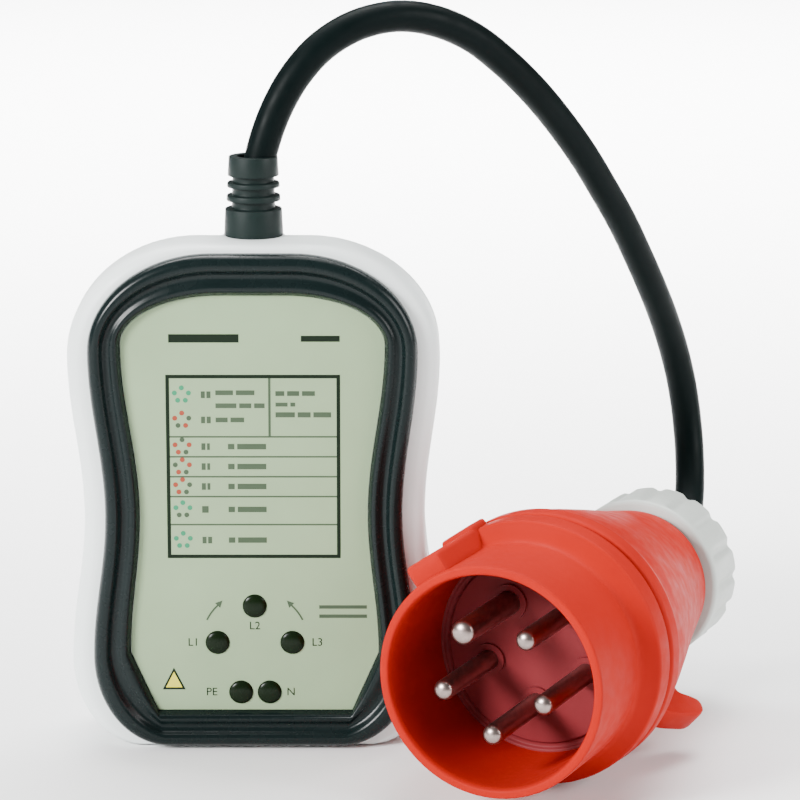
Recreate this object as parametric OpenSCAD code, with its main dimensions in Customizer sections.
// Three-phase outlet tester: a handheld indicator box joined by a short stiff lead
// to a five-pin industrial plug. The box stands on its bottom edge with its face
// towards -Y. The origin is under the middle of the box, on the surface it stands on.

/* [Tester case] */
// Depth of the case from the front of the trim ring to the back label
case_depth = 36; // [34:1:40]
// Height of the case without the bend relief
case_height = 129; // [128:1:131]
// Half-width of the lower bulge
half_low = 46.3; // [44:0.1:48]
// Half-width of the waist
half_waist = 42.8; // [41:0.1:44]
// Half-width of the upper bulge
half_high = 46.5; // [45:0.1:48]
// Wall thickness of both shells
wall = 2.5; // [2:0.1:3]
// How far the trim ring stands in front of the case
ring_height = 4; // [3:0.5:4]

/* [Indicator lamps] */
// Radius of a lamp lens
lamp_r = 3; // [2.5:0.1:3.2]
// Radial gap between a lens and its hole
lamp_gap = 0.05; // [0.02:0.01:0.1]
// Height of the top lamp
lamp_top_z = 37; // [36:0.5:40]
// Height of the two middle lamps
lamp_mid_z = 27.5; // [26:0.5:29]
// Height of the two bottom lamps
lamp_low_z = 14.5; // [14:0.5:16]
// Half-distance between the two middle lamps
lamp_mid_x = 9.4; // [9:0.1:10]
// Half-distance between the two bottom lamps
lamp_low_x = 3.6; // [3.5:0.1:4]

/* [Lead] */
// Diameter of the lead
cable_d = 8; // [7.8:0.1:8]
// Length of the bend relief outside the case
relief_len = 20; // [20:0.5:21]

/* [Plug] */
// Outside diameter of the shroud round the pins
shroud_d = 57; // [56.5:0.1:57.5]
// Inside diameter of the shroud
mouth_d = 52; // [51.5:0.1:52.5]
// Depth from the mouth to the contact carrier
mouth_depth = 31.5; // [31:0.5:32]
// Radius of the collar that the plug rests on
collar_r = 33.4; // [33:0.1:33.5]
// Diameter of the circle that the pins stand on
pin_circle_d = 27; // [26.5:0.1:27.5]
// Diameter of a phase or neutral pin
pin_d = 5; // [4.9:0.1:5]
// Diameter of the earth pin
earth_pin_d = 6; // [5.9:0.1:6]
// Distance from the mouth to the rear end of the gland nut
plug_len = 122; // [120:0.5:124]
// Radius of the gland nut over its grips
nut_r = 21.5; // [21:0.1:22]

/* [Hidden] */

$fn = 48;
// Overshoot of a cutting tool past the face that it cuts
cut = 1;
// Clearance between two fixed pieces
gap = 0.1;
// Clearance round a screw
screw_gap = 0.2;

// ---- Case: depths along Y, from front to back ----
ring_front = -case_depth / 2;
face_y = ring_front + ring_height;
plate_y = face_y + wall;
back_y = case_depth / 2 - 0.4;
label_t = 0.5;

// A case outline is [bottom, half-width of the flat bottom, height and half-width of
// the low bulge, of the waist and of the high bulge, top, half-width of the flat top].
case_form = [0, 30, 22, half_low, 60, half_waist, 100, half_high, case_height, 14];
ring_form = [0.8, 22, 24, 40.5, 61, 37.1, 102, 40.9, case_height - 2.2, 10];
label_form = [9.8, 24.5, 25, 31.2, 61, 28.5, 104, 32.8, 116.4, 8];
corner_steps = 8;
side_steps = 8;

// Depth and inset of the outline at each step from the front face to the parting plane
front_levels = [
    [face_y, 4.6], [face_y + 0.5, 2.8], [face_y + 1.8, 1.1], [face_y + 4, 0.2],
    [face_y + 6.5, 0], [0, 0]
];
// The same from the parting plane to the back
rear_levels = [[0, 0], [7, 0], [11.5, 0.8], [14.8, 2.6], [16.8, 5.2], [back_y, 8.5]];
// The rear shell's top slopes down this much for each mm to the back
rear_slope = 0.2;
// Level pad that the strain relief's rear half stands on
relief_pad_r = 7.8;
relief_pad_h = 3;
gasket_inset = 0.8;
gasket_w = 0.9;
gasket_depth = 0.7;

// ---- Blank plate on the back ----
rating_w = 52;
rating_h = 36;
rating_z = 48;
rating_recess = 0.3;

// ---- Lamps: places of L1, L2, L3, N and PE ----
lamp_places = [
    [-lamp_mid_x, lamp_mid_z], [0, lamp_top_z], [lamp_mid_x, lamp_mid_z],
    [lamp_low_x, lamp_low_z], [-lamp_low_x, lamp_low_z]
];
// Half-distance between the two legs of a diode
led_leg_x = 1.27;

// ---- Circuit board ----
board_half_w = 27;
board_low = 9;
board_high = 104;
board_t = 1.6;
board_front = -4.5;
board_back = board_front + board_t;
board_screw_x = 22.5;
board_screw_z = [20, 100];
case_screw_x = 35;
case_screw_z = [22, 101];
pilot_r = 1.2;
shank_r = 1.5;
screw_head_r = 2.9;
// Cross slot of a screw
slot_w = 0.7;

// ---- Terminal block of the case: five ways side by side, wires from above ----
block_z = 84;
block_h = 10;
block_d = 11;
way_pitch = 6.4;
way_r = 1.7;
way_depth = 6;
block_w = 5 * way_pitch + 2;

// ---- Cord clamp: its two screws stand either side of the lead ----
clamp_screw_x = 9.5;
clamp_z = 115;

// ---- Bend relief: a flange inside the case and a neck through its top wall ----
relief_flange_h = 3;
relief_flange_z = case_height - wall - 0.6 - relief_flange_h;
relief_flange_r = 9;
relief_neck_z = relief_flange_z + relief_flange_h;
relief_neck_r = 6.2;

// ---- Cores: one for each phase, neutral and earth ----
core_r = 1.2;
core_circle_r = 2.5;
// Where each core leaves the lead in the case, from the left way to the right one
core_turns = [162, 234, 90, 306, 18];
core_colors = ["saddlebrown", "black", "gray", "dodgerblue", "yellowgreen"];

// ---- Lead: from the cord clamp, through the relief, over to the plug ----
cable_r = cable_d / 2;
cable_route = [
    [0, 0, 108], [0, 0, 122], [0, 0, 134], [0.8, 0, 143.4], [2.9, 0, 152.6], [6.2, 0.5, 161.2],
    [10.8, 1.7, 169], [17.2, 4, 175.8], [25.8, 7.5, 180.6], [35.6, 12, 182.3], [45.2, 17, 180.6],
    [54.6, 22.5, 176], [63, 28.4, 169], [71, 34.5, 160.6], [78.2, 41, 151.4], [84.6, 47, 142],
    [90.2, 53, 132.4], [95.6, 59, 122.6], [100.3, 65, 112.6], [104.7, 71, 102.6],
    [108.5, 76.8, 93], [111.7, 81.4, 83.3], [114.2, 83.9, 73.4], [115.8, 83.9, 63.3],
    [116.5, 80.8, 53.6], [116.2, 74.7, 45], [114.9, 66.6, 38.6], [112.8, 57.3, 34.7],
    [109.6, 47, 33.5], [105.6, 38, 33.5], [97.6, 20, 33.5], [93.6, 11, 33.5]
];
cable_sides = 12;

// ---- Plug: its axis runs 4 to the side for every 9 to the back ----
plug_mouth = [57.6, -70, 33.5];
plug_yaw = atan2(4, 9);
// Turn of the earth pin and of the key ridge about the plug's axis, seen from the mouth
earth_turn = 125;
lug_turn = -42;
pin_step = 72;
earth_pin_tip = 0.6;
pin_tip = 1.2;
shroud_r = shroud_d / 2;
mouth_r = mouth_d / 2;
pin_circle_r = pin_circle_d / 2;
carrier_r = 29;
carrier_back = 37;
collar_front = 26.5;
split_front = 33.6;
split_back = 34.6;
// A pin is thicker where the carrier holds it, and thicker again behind it
pin_shoulder = 0.5;
pin_body_r = 4;
pin_body_end = 58;
pin_screw_r = 1.75;
pin_screw_t = 53;
nut_front = 101;
spigot_r = 15;
spigot_end = 112;
seal_seat_r = 9;
seal_front = 98.5;
seal_end = 108;
washer_end = 112.3;
// The nut's rear wall, and its hole round the lead
nut_wall_front = 112.6;
nut_hole_r = cable_r + 0.6;
nut_grips = 16;

// Outline of a case part: right side from the bottom up, then the left side down.
function corner_point(k, n, cut_off) =
    cut_off ? [k / n, k / n] : [sin(90 * k / n), 1 - cos(90 * k / n)];
function wave(a, b, s) = a + (b - a) * (1 - cos(180 * s)) / 2;
function right_side(f, cut_off) = concat(
    [for (k = [0 : corner_steps])
        let (c = corner_point(k, corner_steps, cut_off))
        [f[1] + (f[3] - f[1]) * c[0], f[0] + (f[2] - f[0]) * c[1]]],
    [for (k = [1 : side_steps])
        let (s = k / side_steps)
        [wave(f[3], f[5], s), f[2] + (f[4] - f[2]) * s]],
    [for (k = [1 : side_steps])
        let (s = k / side_steps)
        [wave(f[5], f[7], s), f[4] + (f[6] - f[4]) * s]],
    [for (k = [1 : corner_steps])
        let (c = corner_point(corner_steps - k, corner_steps, false))
        [f[9] + (f[7] - f[9]) * c[0], f[8] - (f[8] - f[6]) * c[1]]]
);
function outline(f, cut_off = false) =
    let (r = right_side(f, cut_off), n = len(r))
    concat(r, [for (k = [n - 1 : -1 : 0]) [-r[k][0], r[k][1]]]);
// The same form drawn in by g all round
function inset(f, g) = [
    f[0] + g, f[1] - g / 2, f[2] + g / 2, f[3] - g, f[4],
    f[5] - g, f[6] - g / 2, f[7] - g, f[8] - g, f[9] - g / 2
];
// The case form drawn in by g at its sides, and less at its bottom and top, where
// the front face runs on under the trim ring
function front_inset(f, g) = [
    f[0] + g / 6, f[1] - g / 2, f[2] + g / 2, f[3] - g, f[4],
    f[5] - g, f[6] - g / 2, f[7] - g, f[8] - g / 3, f[9] - g / 2
];
// The form at a depth behind the parting plane, with its top sloping down
function rear_inset(f, y, g) = let (d = inset(f, g)) [
    d[0], d[1], d[2], d[3], d[4], d[5], d[6], d[7], d[8] - rear_slope * y, d[9]
];
function at_depth(points, y) = [for (p = points) [p[0], y, p[1]]];

// Solid skin over a stack of equal outlines, closed by its first and last
module skin(levels) {
    n = len(levels[0]);
    m = len(levels);
    polyhedron(
        points = [for (l = levels) each l],
        faces = concat(
            [[for (i = [n - 1 : -1 : 0]) i]],
            [for (k = [0 : m - 2], i = [0 : n - 1])
                let (j = (i + 1) % n)
                [k * n + i, k * n + j, (k + 1) * n + j, (k + 1) * n + i]],
            [[for (i = [0 : n - 1]) (m - 1) * n + i]]
        )
    );
}

// Ring whose section is the closed loop of its levels
module loop_skin(levels) {
    n = len(levels[0]);
    m = len(levels);
    polyhedron(
        points = [for (l = levels) each l],
        faces = [for (k = [0 : m - 1], i = [0 : n - 1])
            let (j = (i + 1) % n, q = (k + 1) % m)
            [k * n + i, k * n + j, q * n + j, q * n + i]]
    );
}

// Flat plate of one case outline between two depths
module plate(f, y0, y1, cut_off = false) {
    translate([0, y1, 0])
        rotate([90, 0, 0])
            linear_extrude(height = y1 - y0)
                polygon(outline(f, cut_off));
}

// Round bar along Y between two depths
module y_bar(r, y0, y1) {
    translate([0, y1, 0])
        rotate([90, 0, 0])
            cylinder(r = r, h = y1 - y0);
}

module at_lamp(i) {
    translate([lamp_places[i][0], 0, lamp_places[i][1]]) children();
}

module at_case_screws() {
    for (x = [-case_screw_x, case_screw_x], z = case_screw_z)
        translate([x, 0, z])
            children();
}

module at_board_screws() {
    for (x = [-board_screw_x, board_screw_x], z = board_screw_z)
        translate([x, 0, z])
            children();
}

module at_clamp_screws() {
    for (x = [-clamp_screw_x, clamp_screw_x]) translate([x, 0, clamp_z]) children();
}

// Passage of the bend relief through the top wall
module relief_passage() {
    translate([0, 0, relief_neck_z]) cylinder(r = relief_neck_r + gap, h = case_height);
    translate([0, 0, relief_flange_z - gap])
        cylinder(r = relief_flange_r + gap, h = relief_flange_h + 2 * gap);
}

// ---- Tester case ----
module gasket_loop(extra) {
    difference() {
        plate(inset(case_form, gasket_inset), -gasket_depth, extra);
        plate(inset(case_form, gasket_inset + gasket_w), -gasket_depth - cut, extra + cut);
    }
}

module front_shell() {
    boss_r = 3.2;
    color("gainsboro")
        difference() {
            union() {
                difference() {
                    skin([for (l = front_levels)
                        at_depth(outline(front_inset(case_form, l[1])), l[0])]);
                    plate(inset(case_form, wall + 0.6), plate_y, cut);
                }
                at_case_screws() y_bar(boss_r, plate_y - cut, -1);
                at_board_screws() y_bar(boss_r - 0.4, plate_y - cut, board_front);
                at_clamp_screws() y_bar(boss_r, plate_y - cut, cable_r + 0.05);
                translate([-clamp_screw_x, plate_y - cut, clamp_z - boss_r])
                    cube([2 * clamp_screw_x, cut - plate_y - cable_r - 0.05, 2 * boss_r]);
            }
            gasket_loop(cut);
            at_case_screws() y_bar(pilot_r, plate_y + cut, 0);
            at_board_screws() y_bar(pilot_r, plate_y + cut, 0);
            at_clamp_screws() y_bar(pilot_r, plate_y + cut, cable_r + cut);
            for (i = [0 : 4]) at_lamp(i) y_bar(lamp_r + lamp_gap, face_y - cut, plate_y + cut);
            relief_passage();
        }
}

module rear_shell() {
    tube_r = 4.2;
    head_seat_y = 12;
    color("gainsboro")
        difference() {
            union() {
                difference() {
                    skin([for (l = rear_levels)
                        at_depth(outline(rear_inset(case_form, l[0], l[1])), l[0])]);
                    plate(inset(case_form, wall + 1), -cut, 7);
                    plate(inset(case_form, wall + 3.4), 6.5, 12);
                    plate(inset(case_form, wall + 7), 11, back_y - wall);
                }
                at_case_screws() y_bar(tube_r, 0, back_y - wall + cut);
                translate([0, 0, case_height - relief_pad_h])
                    intersection() {
                        cylinder(r = relief_pad_r, h = relief_pad_h);
                        translate([-relief_pad_r, 0, 0])
                            cube([2 * relief_pad_r, relief_pad_r, relief_pad_h]);
                    }
            }
            at_case_screws() y_bar(shank_r + screw_gap, -cut, back_y + cut);
            at_case_screws() y_bar(screw_head_r + screw_gap, head_seat_y, back_y + cut);
            translate([-rating_w / 2 - gap, back_y - rating_recess, rating_z - gap])
                cube([rating_w + 2 * gap, cut, rating_h + 2 * gap]);
            relief_passage();
        }
}

module case_gasket() {
    color("dimgray")
        difference() {
            gasket_loop(0);
            translate([0, 0, relief_neck_z - cut])
                cylinder(r = relief_neck_r + 0.5, h = case_height);
        }
}

module case_screws() {
    head_h = 2.2;
    head_y = 12;
    color("silver")
        at_case_screws()
            difference() {
                union() {
                    y_bar(shank_r, -0.8, head_y + 0.5);
                    y_bar(pilot_r, -9, -0.5);
                    y_bar(screw_head_r, head_y, head_y + head_h);
                }
                for (a = [0, 90])
                    rotate([0, a, 0])
                        translate([-1.6, head_y + head_h - 1, -slot_w / 2])
                            cube([3.2, 1 + cut, slot_w]);
            }
}

module rating_plate() {
    color("lightgray")
        translate([-rating_w / 2, back_y - rating_recess, rating_z])
            cube([rating_w, rating_recess + 0.4, rating_h]);
}

module trim_ring() {
    roll = inset(ring_form, 2.2);
    crest = inset(ring_form, 4.4);
    groove = inset(ring_form, 5.6);
    rim = inset(ring_form, 0.7);
    color("darkslategray")
        loop_skin([
            at_depth(outline(ring_form), face_y),
            at_depth(outline(label_form, true), face_y),
            at_depth(outline(label_form, true), ring_front + 1.9),
            at_depth(outline(inset(label_form, -1.6), true), ring_front + 1.3),
            at_depth(outline(groove), ring_front + 1.5),
            at_depth(outline(crest), ring_front + 0.2),
            at_depth(outline(roll), ring_front),
            at_depth(outline(rim), ring_front + 1.2),
            at_depth(outline(ring_form), ring_front + 2.8)
        ]);
}

module face_label() {
    color("honeydew")
        difference() {
            plate(inset(label_form, 0.1), face_y - label_t, face_y, true);
            for (i = [0 : 4]) at_lamp(i) y_bar(lamp_r + lamp_gap, face_y - cut, face_y + cut);
        }
}

// Smoked lens: a dome in front, a cup behind it and a flange behind the face plate
module lamp_lens(i) {
    flange_r = 3.5;
    flange_t = 1;
    cup_r = 2.65;
    dome = 1;
    color("darkslategray")
        at_lamp(i)
            rotate([90, 0, 0])
                rotate_extrude()
                    polygon([
                        [0, -face_y + label_t + dome],
                        [lamp_r * 0.7, -face_y + label_t + dome * 0.7],
                        [lamp_r, -face_y + label_t],
                        [lamp_r, -plate_y],
                        [flange_r, -plate_y],
                        [flange_r, -plate_y - flange_t],
                        [cup_r, -plate_y - flange_t],
                        [cup_r, -face_y - 0.8],
                        [0, -face_y - 0.8]
                    ]);
}

module lamp_l1() { lamp_lens(0); }
module lamp_l2() { lamp_lens(1); }
module lamp_l3() { lamp_lens(2); }
module lamp_n() { lamp_lens(3); }
module lamp_pe() { lamp_lens(4); }

module led_bodies() {
    led_r = 2.4;
    dome_y = -13;
    color("whitesmoke")
        for (i = [0 : 4])
            at_lamp(i)
                union() {
                    y_bar(led_r, dome_y + led_r + 0.2, board_front);
                    translate([0, dome_y + led_r + 0.2, 0]) sphere(r = led_r);
                    y_bar(led_r + 0.4, board_front - 1, board_front);
                    for (x = [-led_leg_x, led_leg_x])
                        translate([x, 0, 0])
                            y_bar(0.25, board_front - cut, board_back + 1);
                }
}

module circuit_board() {
    lead_hole_r = 0.5;
    color("darkgreen")
        difference() {
            translate([-board_half_w, board_front, board_low])
                cube([2 * board_half_w, board_t, board_high - board_low]);
            at_board_screws() y_bar(shank_r + screw_gap, board_front - cut, board_back + cut);
            for (i = [0 : 4], x = [-led_leg_x, led_leg_x])
                at_lamp(i)
                    translate([x, 0, 0])
                        y_bar(lead_hole_r, board_front - cut, board_back + cut);
        }
}

module board_screws() {
    head_h = 1.8;
    color("silver")
        at_board_screws()
            difference() {
                union() {
                    y_bar(pilot_r, board_front - 5.5, board_back + 0.5);
                    y_bar(2.6, board_back, board_back + head_h);
                }
                translate([-3, board_back + head_h - 0.7, -slot_w / 2])
                    cube([6, cut + 0.7, slot_w]);
            }
}

// Axial part lying along Z on the back of the board, its leads bent down to it
module axial_part(r, h, lead_span, lead_r) {
    y = board_back + r + 0.4;
    union() {
        translate([0, y, -h / 2]) cylinder(r = r, h = h);
        translate([0, y, -lead_span / 2]) cylinder(r = lead_r, h = lead_span, $fn = 16);
        for (z = [-lead_span / 2, lead_span / 2])
            translate([0, 0, z])
                rotate([-90, 0, 0])
                    translate([0, 0, board_back])
                        cylinder(r = lead_r, h = r + 0.4 + lead_r, $fn = 16);
    }
}

module dropper_resistors() {
    color("peru")
        for (k = [-2 : 2]) translate([k * 9, 0, 70]) axial_part(2.2, 11, 17, 0.4);
}

module diodes() {
    color("dimgray")
        for (k = [-2 : 2]) translate([k * 9, 0, 54]) axial_part(1.35, 5, 9, 0.4);
}

module capacitors() {
    can_r = 4;
    can_h = 11;
    color("midnightblue")
        for (x = [-17, -6])
            translate([x, board_back, 39])
                rotate([-90, 0, 0])
                    union() {
                        cylinder(r = can_r, h = can_h - 0.8);
                        cylinder(r = can_r - 0.5, h = can_h);
                    }
}

module control_chip() {
    chip_w = 7;
    chip_l = 20;
    chip_h = 3.4;
    leg_pitch = 2.54;
    color("black")
        translate([12, board_back, 37])
            union() {
                translate([-chip_w / 2, 0.6, -chip_l / 2]) cube([chip_w, chip_h, chip_l]);
                for (k = [0 : 6], x = [-chip_w / 2 - 0.4, chip_w / 2 - 0.1])
                    translate([x, 0, (k - 3) * leg_pitch - 0.25]) cube([0.5, 2.2, 0.5]);
            }
}

function way_x(k) = (k - 2) * way_pitch;

module terminal_block() {
    color("whitesmoke")
        difference() {
            translate([-block_w / 2, board_back, block_z]) cube([block_w, block_d, block_h]);
            for (k = [0 : 4])
                translate([way_x(k), board_back + block_d / 2, block_z + block_h - way_depth])
                    cylinder(r = way_r, h = way_depth + cut);
            for (k = [0 : 4])
                translate([way_x(k), 0, block_z + 5])
                    y_bar(way_r + 0.1, board_back + block_d / 2, board_back + block_d + cut);
        }
}

module terminal_block_screws() {
    screw_y = board_back + block_d / 2 + core_r + 0.1;
    color("silver")
        for (k = [0 : 4])
            translate([way_x(k), 0, block_z + 5])
                difference() {
                    y_bar(way_r, screw_y, board_back + block_d - 0.6);
                    translate([-2, board_back + block_d - 1.4, -0.3]) cube([4, cut + 1, 0.6]);
                }
}

// Tube swept along a route: a ring of points square to the route at each of its points
function unit(v) = v / norm(v);
function route_dir(r, i) = unit(r[min(i + 1, len(r) - 1)] - r[max(i - 1, 0)]);
function tube_ring(r, i, rad, sides, across) =
    let (t = route_dir(r, i), a = unit(cross(t, across)), b = cross(t, a))
    [for (k = [0 : sides - 1])
        let (w = 360 * k / sides)
        r[i] + rad * (cos(w) * a + sin(w) * b)];

module tube(route, rad, sides, across) {
    skin([for (i = [len(route) - 1 : -1 : 0]) tube_ring(route, i, rad, sides, across)]);
}

// A core leaves the lead's end and bends into its own way of the terminal block
module case_core(k) {
    turn = core_turns[k];
    way_y = board_back + block_d / 2;
    start = [core_circle_r * cos(turn), core_circle_r * sin(turn), 108];
    color(core_colors[k])
        tube([
            start,
            start - [0, 0, 2.5],
            [(start[0] + way_x(k)) / 2, (start[1] + way_y) / 2, 101],
            [way_x(k), way_y, 96.5],
            [way_x(k), way_y, 94],
            [way_x(k), way_y, block_z + block_h - way_depth + 0.5]
        ], core_r, 8, [0, 1, 0]);
}

module case_core_l1() { case_core(0); }
module case_core_l2() { case_core(1); }
module case_core_l3() { case_core(2); }
module case_core_n() { case_core(3); }
module case_core_pe() { case_core(4); }

module cord_clamp() {
    bar_t = 3;
    half_len = 13;
    color("dimgray")
        difference() {
            translate([-half_len, cable_r + 0.05, clamp_z - 3]) cube([2 * half_len, bar_t, 6]);
            at_clamp_screws() y_bar(shank_r + screw_gap, 0, cable_r + bar_t + cut);
        }
}

module clamp_screws() {
    seat_y = cable_r + 3.05;
    color("silver")
        at_clamp_screws()
            difference() {
                union() {
                    y_bar(pilot_r, -6, seat_y + 0.5);
                    y_bar(screw_head_r - 0.2, seat_y, seat_y + 2);
                }
                translate([-3, seat_y + 1.2, -slot_w / 2]) cube([6, cut + 1, slot_w]);
            }
}

// Bend relief: a flange inside the case, a neck, a base and a tapered ribbed sleeve
module strain_relief() {
    top = case_height + relief_len;
    color("black")
        rotate_extrude()
            polygon([
                [cable_r, relief_flange_z],
                [relief_flange_r, relief_flange_z],
                [relief_flange_r, relief_neck_z],
                [relief_neck_r, relief_neck_z],
                [relief_neck_r, case_height],
                [7.4, case_height],
                [7.1, case_height + 6.6],
                [5.4, case_height + 7],
                [5.4, case_height + 8.6],
                [6.7, case_height + 9],
                [6.6, case_height + 10.2],
                [5.3, case_height + 10.6],
                [5.3, case_height + 12.2],
                [6.5, case_height + 12.6],
                [6.4, case_height + 13.6],
                [5.2, case_height + 14],
                [5.2, case_height + 15],
                [6.2, case_height + 15.4],
                [6, top - 0.6],
                [5.5, top],
                [cable_r, top]
            ]);
}

module cable() {
    color("black") tube(cable_route, cable_r, cable_sides, [-84, 118, 0]);
}

// ---- Plug: local Z runs back along its axis from the mouth, local -Y is up ----
module at_plug() {
    translate(plug_mouth) rotate([0, 0, -plug_yaw]) rotate([-90, 0, 0]) children();
}

// Turn about the plug's axis, counted from its right-hand side as seen from the mouth
module turned(angle) {
    rotate([0, 0, -angle]) children();
}

module tube_between(r_out, r_in, t0, t1) {
    translate([0, 0, t0])
        difference() {
            cylinder(r = r_out, h = t1 - t0);
            translate([0, 0, -cut]) cylinder(r = r_in, h = t1 - t0 + 2 * cut);
        }
}

module plug_shroud() {
    key_w = 10;
    key_r = 33.4;
    key_front = 2.5;
    collar_key_r = 34.6;
    collar_key_front = 25;
    color("tomato")
        at_plug()
            difference() {
                union() {
                    rotate_extrude()
                        polygon([
                            [0, 0.9],
                            [mouth_r + 0.3, 0.9],
                            [mouth_r + 1, 0],
                            [shroud_r - 0.7, 0],
                            [shroud_r, 0.9],
                            [shroud_r, collar_front - 1.5],
                            [collar_r - 1.6, collar_front],
                            [collar_r - 0.4, collar_front + 1],
                            [collar_r - 0.2, split_front],
                            [0, split_front]
                        ]);
                    turned(earth_turn) {
                        translate([shroud_r - 1.5, -key_w / 2, key_front])
                            cube([key_r - shroud_r + 1.5, key_w, split_front - key_front]);
                        translate([shroud_r + 0.5, -key_w / 2, collar_key_front])
                            cube([collar_key_r - shroud_r - 0.5, key_w,
                                  split_front - collar_key_front]);
                    }
                }
                translate([0, 0, -cut]) cylinder(r = mouth_r, h = split_front + 2 * cut);
                translate([0, 0, mouth_depth]) cylinder(r = carrier_r + gap, h = split_front);
            }
}

module housing_seal() {
    color("maroon")
        at_plug() tube_between(collar_r - 1.6, carrier_r + 0.5, split_front, split_back);
}

function pin_turn(k) = earth_turn + pin_step * k;

module at_pin(k) {
    turned(pin_turn(k)) translate([pin_circle_r, 0, 0]) children();
}

module contact_carrier() {
    tower_r = 5.4;
    tower_end = 50;
    color("firebrick")
        at_plug()
            difference() {
                union() {
                    translate([0, 0, mouth_depth])
                        cylinder(r = carrier_r, h = carrier_back - mouth_depth);
                    for (k = [0 : 4])
                        at_pin(k)
                            translate([0, 0, mouth_depth])
                                cylinder(r = tower_r, h = tower_end - mouth_depth);
                }
                for (k = [1 : 4])
                    at_pin(k)
                        translate([0, 0, mouth_depth - cut])
                            cylinder(r = pin_d / 2 + pin_shoulder, h = tower_end);
                at_pin(0)
                    translate([0, 0, mouth_depth - cut])
                        cylinder(r = earth_pin_d / 2 + pin_shoulder, h = tower_end);
                for (k = [0 : 4])
                    at_pin(k)
                        translate([0, 0, carrier_back])
                            cylinder(r = pin_body_r, h = tower_end);
            }
}

// Pin with a chamfered tip in front, and behind it a body bored for the core and
// tapped across for the screw
module contact_pin(k, d, tip) {
    tip_chamfer = 1;
    bore_r = 1.7;
    bore_depth = 9;
    color("gold")
        at_plug()
            at_pin(k)
                difference() {
                    rotate_extrude()
                        polygon([
                            [0, tip],
                            [d / 2 - tip_chamfer, tip],
                            [d / 2, tip + tip_chamfer],
                            [d / 2, mouth_depth],
                            [d / 2 + pin_shoulder, mouth_depth],
                            [d / 2 + pin_shoulder, carrier_back],
                            [pin_body_r, carrier_back],
                            [pin_body_r, pin_body_end],
                            [0, pin_body_end]
                        ]);
                    translate([0, 0, pin_body_end - bore_depth])
                        cylinder(r = bore_r, h = bore_depth + cut);
                    translate([0, 0, pin_screw_t])
                        rotate([0, 90, 0])
                            cylinder(r = pin_screw_r, h = pin_body_r + cut);
                }
}

module pin_pe() { contact_pin(0, earth_pin_d, earth_pin_tip); }
module pin_l1() { contact_pin(1, pin_d, pin_tip); }
module pin_l2() { contact_pin(2, pin_d, pin_tip); }
module pin_l3() { contact_pin(3, pin_d, pin_tip); }
module pin_n() { contact_pin(4, pin_d, pin_tip); }

module pin_screws() {
    color("silver")
        at_plug()
            for (k = [0 : 4])
                at_pin(k)
                    translate([core_r + 0.1, 0, pin_screw_t])
                        rotate([0, 90, 0])
                            difference() {
                                cylinder(r = pin_screw_r, h = pin_body_r + 0.6 - core_r);
                                translate([-2, -0.3, pin_body_r - core_r])
                                    cube([4, 0.6, cut + 1]);
                            }
}

// A core leaves the lead's end in the plug and runs forward into its pin
module plug_core(k, i) {
    a = pin_turn(k);
    near = core_circle_r;
    lead_end = 88;
    color(core_colors[i])
        at_plug()
            tube([
                for (p = [[near, lead_end], [near, lead_end - 4], [7.5, 74],
                          [pin_circle_r - 0.4, 63], [pin_circle_r, 59], [pin_circle_r, 50]])
                    [p[0] * cos(a), -p[0] * sin(a), p[1]]
            ], core_r, 8, [sin(a), cos(a), 0]);
}

module plug_core_pe() { plug_core(0, 4); }
module plug_core_l1() { plug_core(1, 0); }
module plug_core_l2() { plug_core(2, 1); }
module plug_core_l3() { plug_core(3, 2); }
module plug_core_n() { plug_core(4, 3); }

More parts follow.
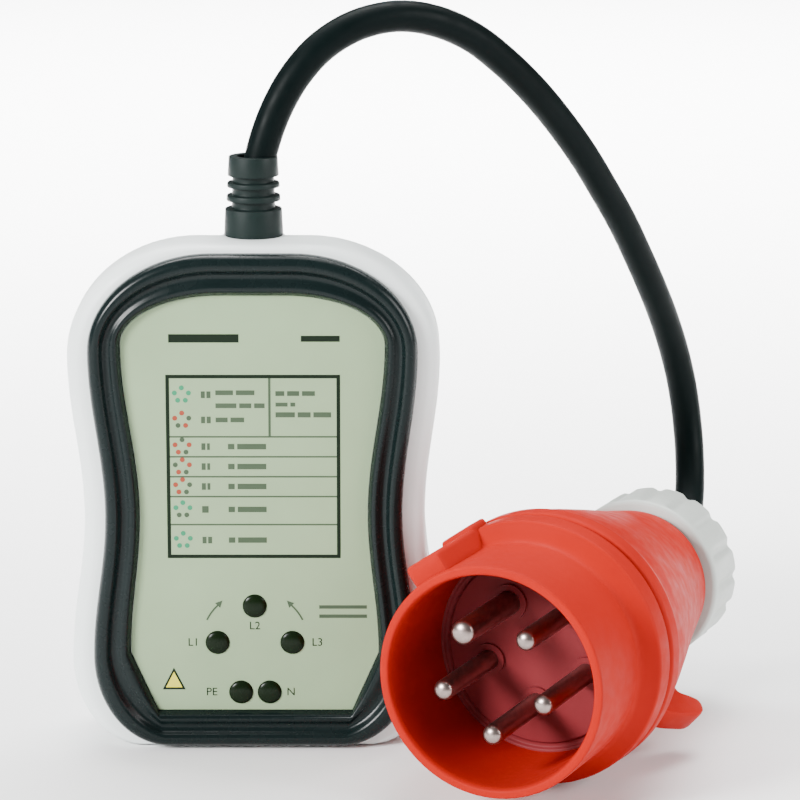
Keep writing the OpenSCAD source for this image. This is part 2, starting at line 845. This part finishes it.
// Rear housing: front lip, taper, spigot for the nut, and a hooked lug on its side
module plug_rear_housing() {
    lug_w = 6;
    color("tomato")
        at_plug()
            union() {
                rotate_extrude()
                    polygon([
                        [carrier_r + gap, split_back],
                        [collar_r - 0.6, split_back],
                        [collar_r, split_back + 0.6],
                        [collar_r, 40.5],
                        [collar_r - 1.4, 42.5],
                        [31, 50],
                        [27.4, 65],
                        [23.6, 80],
                        [19.1, nut_front - 1],
                        [18.7, nut_front - 0.3],
                        [spigot_r, nut_front - 0.3],
                        [spigot_r, spigot_end - 0.8],
                        [spigot_r - 0.8, spigot_end],
                        [seal_seat_r, spigot_end],
                        [seal_seat_r, seal_front],
                        [cable_r + 0.4, seal_front],
                        [cable_r + 0.4, 96],
                        [16.2, 96],
                        [20.8, 80],
                        [24.6, 65],
                        [28.2, 50],
                        [28.2, carrier_back + 0.1],
                        [carrier_r + gap, carrier_back + 0.1]
                    ]);
                turned(lug_turn)
                    translate([0, lug_w / 2, 0])
                        rotate([90, 0, 0])
                            linear_extrude(height = lug_w)
                                polygon([[25.6, 66], [28.5, 48], [33.5, 56], [37.6, 66],
                                         [37.2, 70.5], [35, 72.5], [32.5, 70], [29.5, 66],
                                         [26.6, 68.5]]);
            }
}

module cord_seal() {
    color("black")
        at_plug()
            rotate_extrude()
                polygon([
                    [cable_r, seal_front],
                    [seal_seat_r - 0.1, seal_front],
                    [seal_seat_r - 0.1, seal_end - 2],
                    [seal_seat_r - 2, seal_end],
                    [cable_r, seal_end]
                ]);
}

module gland_washer() {
    color("lightgray")
        at_plug() tube_between(seal_seat_r - 0.4, cable_r + 0.4, seal_end, washer_end);
}

// Gland nut: grips round its rim, a threaded skirt and a rear wall round the lead
module gland_nut() {
    grip_r = 1.6;
    color("gainsboro")
        at_plug()
            difference() {
                rotate_extrude()
                    polygon([
                        [spigot_r + 0.3, nut_front],
                        [nut_r - 0.8, nut_front],
                        [nut_r, nut_front + 0.8],
                        [nut_r, plug_len - 4.5],
                        [nut_r - 3, plug_len - 1],
                        [nut_r - 5, plug_len],
                        [nut_hole_r + 1.5, plug_len],
                        [nut_hole_r, plug_len - 1.5],
                        [nut_hole_r, nut_wall_front],
                        [spigot_r + 0.3, nut_wall_front]
                    ]);
                for (k = [0 : nut_grips - 1])
                    rotate([0, 0, 360 * k / nut_grips])
                        translate([nut_r + grip_r - 0.6, 0, nut_front + 2])
                            cylinder(r = grip_r, h = plug_len, $fn = 24);
            }
}

front_shell();
rear_shell();
case_gasket();
case_screws();
rating_plate();
trim_ring();
face_label();
lamp_l1();
lamp_l2();
lamp_l3();
lamp_n();
lamp_pe();
led_bodies();
circuit_board();
board_screws();
dropper_resistors();
diodes();
capacitors();
control_chip();
terminal_block();
terminal_block_screws();
case_core_l1();
case_core_l2();
case_core_l3();
case_core_n();
case_core_pe();
cord_clamp();
clamp_screws();
strain_relief();
cable();
plug_shroud();
housing_seal();
contact_carrier();
pin_l1();
pin_l2();
pin_l3();
pin_n();
pin_pe();
pin_screws();
plug_core_l1();
plug_core_l2();
plug_core_l3();
plug_core_n();
plug_core_pe();
plug_rear_housing();
cord_seal();
gland_washer();
gland_nut();
